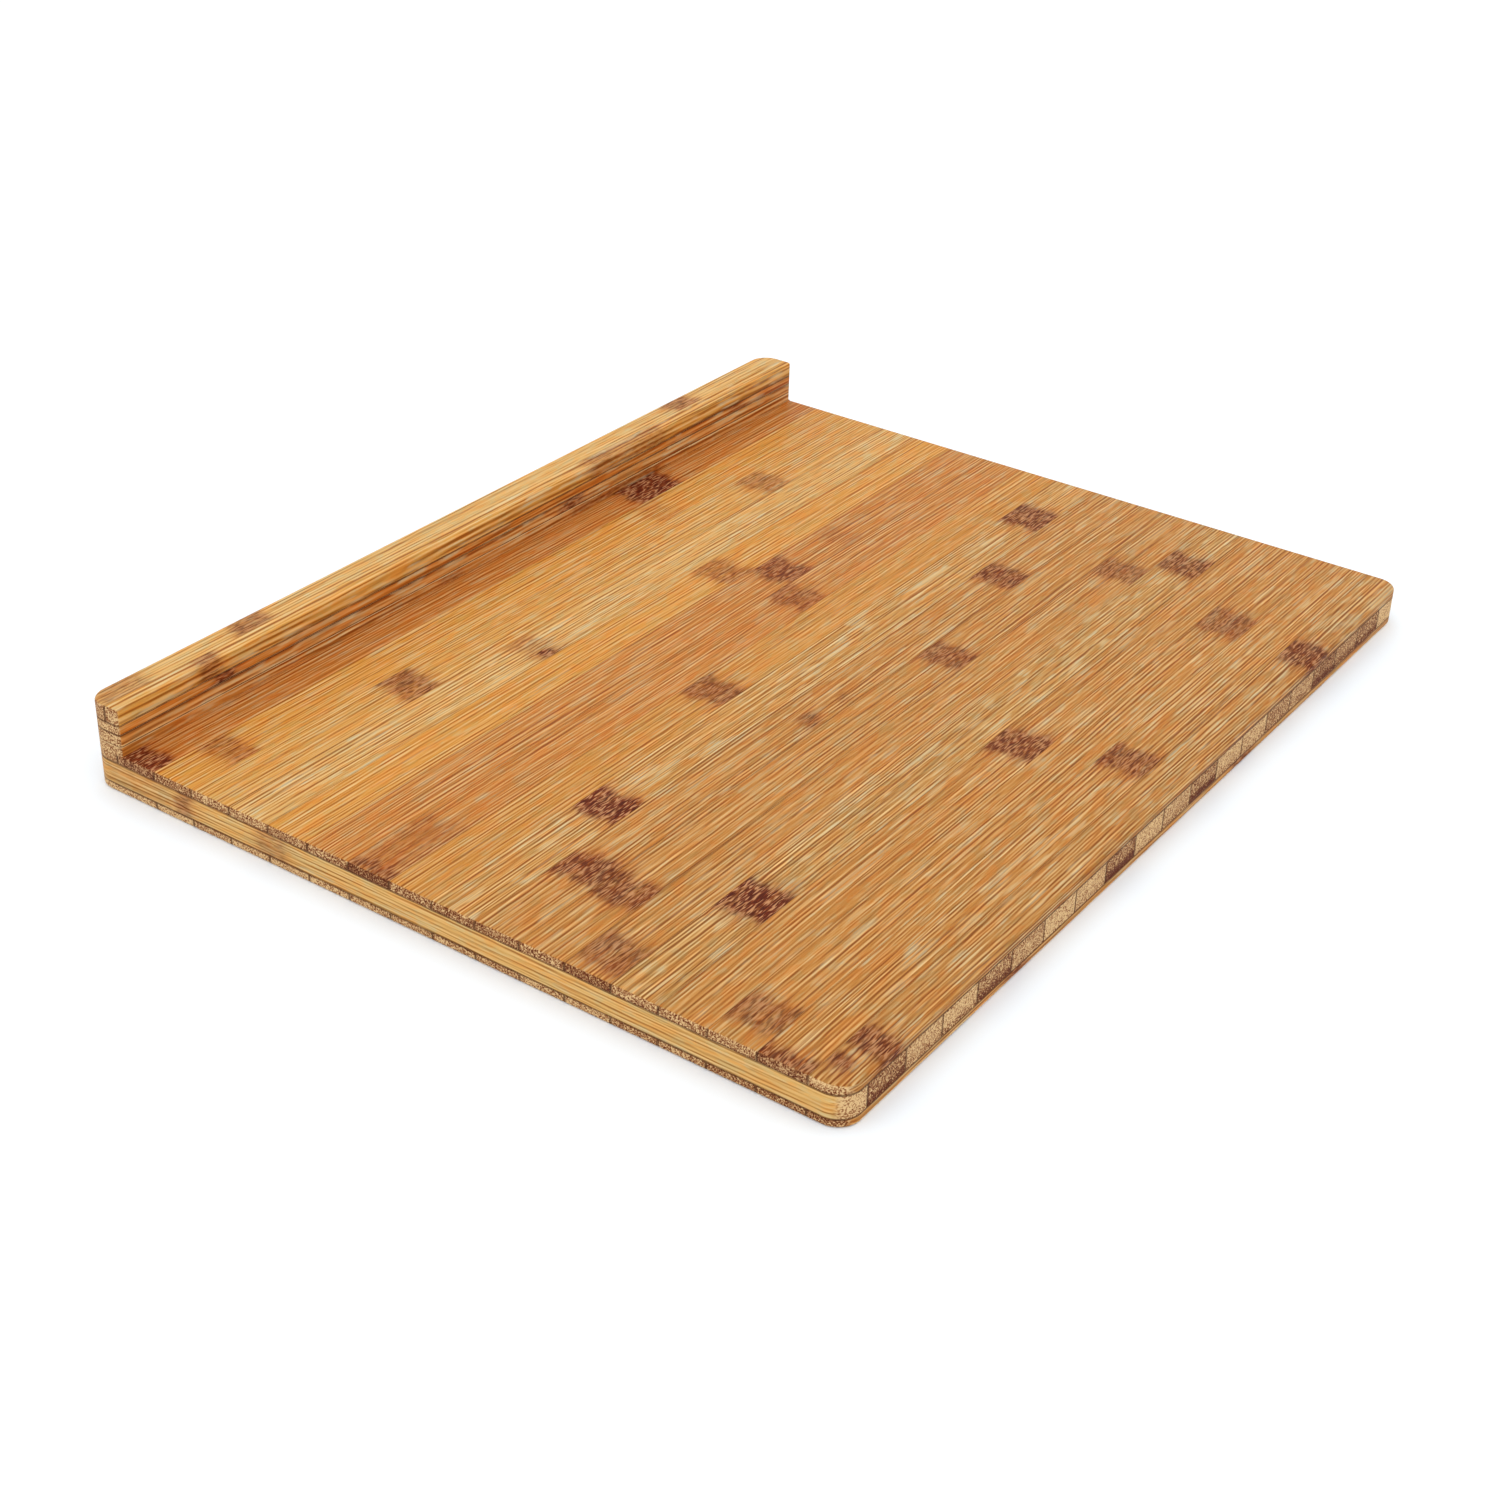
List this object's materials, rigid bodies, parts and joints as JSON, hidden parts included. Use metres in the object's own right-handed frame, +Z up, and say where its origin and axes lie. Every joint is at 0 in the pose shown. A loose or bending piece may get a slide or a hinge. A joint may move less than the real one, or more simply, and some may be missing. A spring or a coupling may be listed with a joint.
{
  "type": "cutting board",
  "caption": "Rectangular laminated bamboo cutting board with cross-laid plies, rounded corners and a raised lip along one long edge.",
  "frame": {"origin": "centre of the flat underside, on the surface the board lies on", "axes": "+X along the length, +Y toward the long edge that carries the raised lip, +Z up from the underside"},
  "size_m": [0.4572, 0.3556, 0.0381],
  "materials": {
    "top_strip_01": "satin bamboo",
    "top_strip_02": "satin bamboo",
    "top_strip_03": "satin bamboo",
    "top_strip_04": "satin bamboo",
    "top_strip_05": "satin bamboo",
    "top_strip_06": "satin bamboo",
    "top_strip_07": "satin bamboo",
    "top_strip_08": "satin bamboo",
    "top_strip_09": "satin bamboo",
    "top_strip_10": "satin bamboo",
    "top_strip_11": "satin bamboo",
    "top_strip_12": "satin bamboo",
    "top_strip_13": "satin bamboo",
    "top_strip_14": "satin bamboo",
    "top_strip_15": "satin bamboo",
    "top_strip_16": "satin bamboo",
    "top_strip_17": "satin bamboo",
    "top_strip_18": "satin bamboo",
    "core_strip_01": "satin bamboo",
    "core_strip_02": "satin bamboo",
    "core_strip_03": "satin bamboo",
    "core_strip_04": "satin bamboo",
    "core_strip_05": "satin bamboo",
    "core_strip_06": "satin bamboo",
    "core_strip_07": "satin bamboo",
    "core_strip_08": "satin bamboo",
    "core_strip_09": "satin bamboo",
    "core_strip_10": "satin bamboo",
    "core_strip_11": "satin bamboo",
    "core_strip_12": "satin bamboo",
    "core_strip_13": "satin bamboo",
    "core_strip_14": "satin bamboo",
    "core_strip_15": "satin bamboo",
    "core_strip_16": "satin bamboo",
    "core_strip_17": "satin bamboo",
    "core_strip_18": "satin bamboo",
    "core_strip_19": "satin bamboo",
    "core_strip_20": "satin bamboo",
    "bottom_strip_01": "satin bamboo",
    "bottom_strip_02": "satin bamboo",
    "bottom_strip_03": "satin bamboo",
    "bottom_strip_04": "satin bamboo",
    "bottom_strip_05": "satin bamboo",
    "bottom_strip_06": "satin bamboo",
    "bottom_strip_07": "satin bamboo",
    "bottom_strip_08": "satin bamboo",
    "bottom_strip_09": "satin bamboo",
    "bottom_strip_10": "satin bamboo",
    "bottom_strip_11": "satin bamboo",
    "bottom_strip_12": "satin bamboo",
    "bottom_strip_13": "satin bamboo",
    "bottom_strip_14": "satin bamboo",
    "bottom_strip_15": "satin bamboo",
    "bottom_strip_16": "satin bamboo",
    "bottom_strip_17": "satin bamboo",
    "lip_layer_lower": "satin bamboo",
    "lip_layer_middle": "satin bamboo",
    "lip_layer_upper": "satin bamboo",
    "lip_cap_inner": "satin bamboo",
    "lip_cap_outer": "satin bamboo"
  },
  "bodies": {
    "root": {"top_strip_01": "top_strip_01", "top_strip_02": "top_strip_02", "top_strip_03": "top_strip_03", "top_strip_04": "top_strip_04", "top_strip_05": "top_strip_05", "top_strip_06": "top_strip_06", "top_strip_07": "top_strip_07", "top_strip_08": "top_strip_08", "top_strip_09": "top_strip_09", "top_strip_10": "top_strip_10", "top_strip_11": "top_strip_11", "top_strip_12": "top_strip_12", "top_strip_13": "top_strip_13", "top_strip_14": "top_strip_14", "top_strip_15": "top_strip_15", "top_strip_16": "top_strip_16", "top_strip_17": "top_strip_17", "top_strip_18": "top_strip_18", "core_strip_01": "core_strip_01", "core_strip_02": "core_strip_02", "core_strip_03": "core_strip_03", "core_strip_04": "core_strip_04", "core_strip_05": "core_strip_05", "core_strip_06": "core_strip_06", "core_strip_07": "core_strip_07", "core_strip_08": "core_strip_08", "core_strip_09": "core_strip_09", "core_strip_10": "core_strip_10", "core_strip_11": "core_strip_11", "core_strip_12": "core_strip_12", "core_strip_13": "core_strip_13", "core_strip_14": "core_strip_14", "core_strip_15": "core_strip_15", "core_strip_16": "core_strip_16", "core_strip_17": "core_strip_17", "core_strip_18": "core_strip_18", "core_strip_19": "core_strip_19", "core_strip_20": "core_strip_20", "bottom_strip_01": "bottom_strip_01", "bottom_strip_02": "bottom_strip_02", "bottom_strip_03": "bottom_strip_03", "bottom_strip_04": "bottom_strip_04", "bottom_strip_05": "bottom_strip_05", "bottom_strip_06": "bottom_strip_06", "bottom_strip_07": "bottom_strip_07", "bottom_strip_08": "bottom_strip_08", "bottom_strip_09": "bottom_strip_09", "bottom_strip_10": "bottom_strip_10", "bottom_strip_11": "bottom_strip_11", "bottom_strip_12": "bottom_strip_12", "bottom_strip_13": "bottom_strip_13", "bottom_strip_14": "bottom_strip_14", "bottom_strip_15": "bottom_strip_15", "bottom_strip_16": "bottom_strip_16", "bottom_strip_17": "bottom_strip_17", "lip_layer_lower": "lip_layer_lower", "lip_layer_middle": "lip_layer_middle", "lip_layer_upper": "lip_layer_upper", "lip_cap_inner": "lip_cap_inner", "lip_cap_outer": "lip_cap_outer"}
  },
  "joints": []
}
